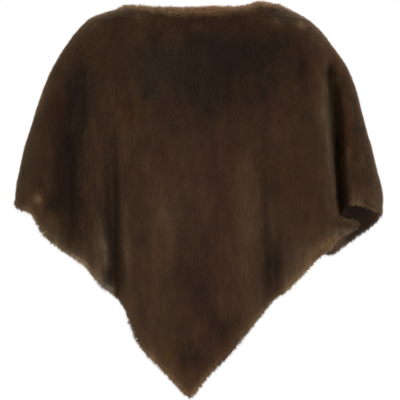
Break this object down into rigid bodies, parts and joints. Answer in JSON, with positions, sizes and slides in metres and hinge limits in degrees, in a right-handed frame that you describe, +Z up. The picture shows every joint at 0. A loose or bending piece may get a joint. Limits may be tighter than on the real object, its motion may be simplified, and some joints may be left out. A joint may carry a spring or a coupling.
{
  "type": "faux fur poncho, worn form",
  "caption": "Pull-on faux fur poncho in its worn, hollow form: straight boat neck, over-arm seams, and a hem that falls to a point at front and back.",
  "frame": {"origin": "middle of the neck opening, level with the neck edge, where the wearer's shoulders carry the garment", "axes": "+Z up, the front faces -Y, the wearer's left arm is towards +X"},
  "size_m": [0.688, 0.2668, 0.7155],
  "materials": {
    "faux_fur": "dark brown short-pile faux fur, matt with a soft sheen, on a smooth brown knitted backing"
  },
  "bodies": {
    "root": {"front": "faux_fur", "back": "faux_fur"}
  },
  "joints": []
}
